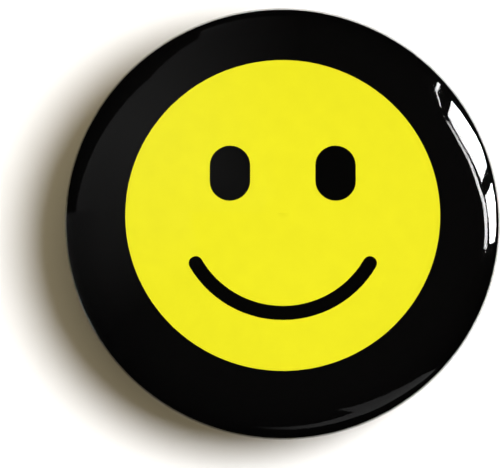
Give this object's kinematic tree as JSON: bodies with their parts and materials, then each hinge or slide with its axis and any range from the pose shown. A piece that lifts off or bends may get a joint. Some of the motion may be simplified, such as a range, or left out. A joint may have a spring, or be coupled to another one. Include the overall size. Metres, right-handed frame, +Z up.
{
  "type": "button badge",
  "caption": "Round pin-back button badge: domed film-covered face with a yellow disc on black, crimped metal back and sprung wire pin.",
  "frame": {"origin": "centre of the plane that the back of the rim lies in, where the garment touches the badge", "axes": "the printed face looks along -Y, +Y points into the garment, +Z is up, and +X is to the right of someone looking at the face"},
  "size_m": [0.025, 0.0072, 0.025],
  "materials": {
    "clear_film": "clear glossy polyester film",
    "black_ink": "solid black print",
    "yellow_ink": "solid bright yellow print",
    "paper": "plain white paper",
    "shell_tinplate": "pressed tinplate",
    "plate_tinplate": "pressed tinplate, satin",
    "pin_wire": "nickel-plated spring steel"
  },
  "bodies": {
    "badge": {"clear_film": "clear_film", "border_print": "black_ink", "face_print": "yellow_ink", "eyes_print": "black_ink", "mouth_print": "black_ink", "insert_paper": "paper", "front_shell": "shell_tinplate", "back_plate": "plate_tinplate", "pin_leg": "pin_wire", "pin_catch": "pin_wire", "pin_coil": "pin_wire"},
    "needle": {"pin_needle": "pin_wire"}
  },
  "joints": [
    {"name": "needle_swing", "type": "hinge", "parent": "badge", "child": "needle", "pos_m": [-0.007, 0.00168, 0.003], "axis": [0, -1, 0], "range_deg": [0, 30], "stiffness_Nm_per_rad": 0.08, "springref_deg": -5.16, "deforming": ["pin_coil"]}
  ]
}
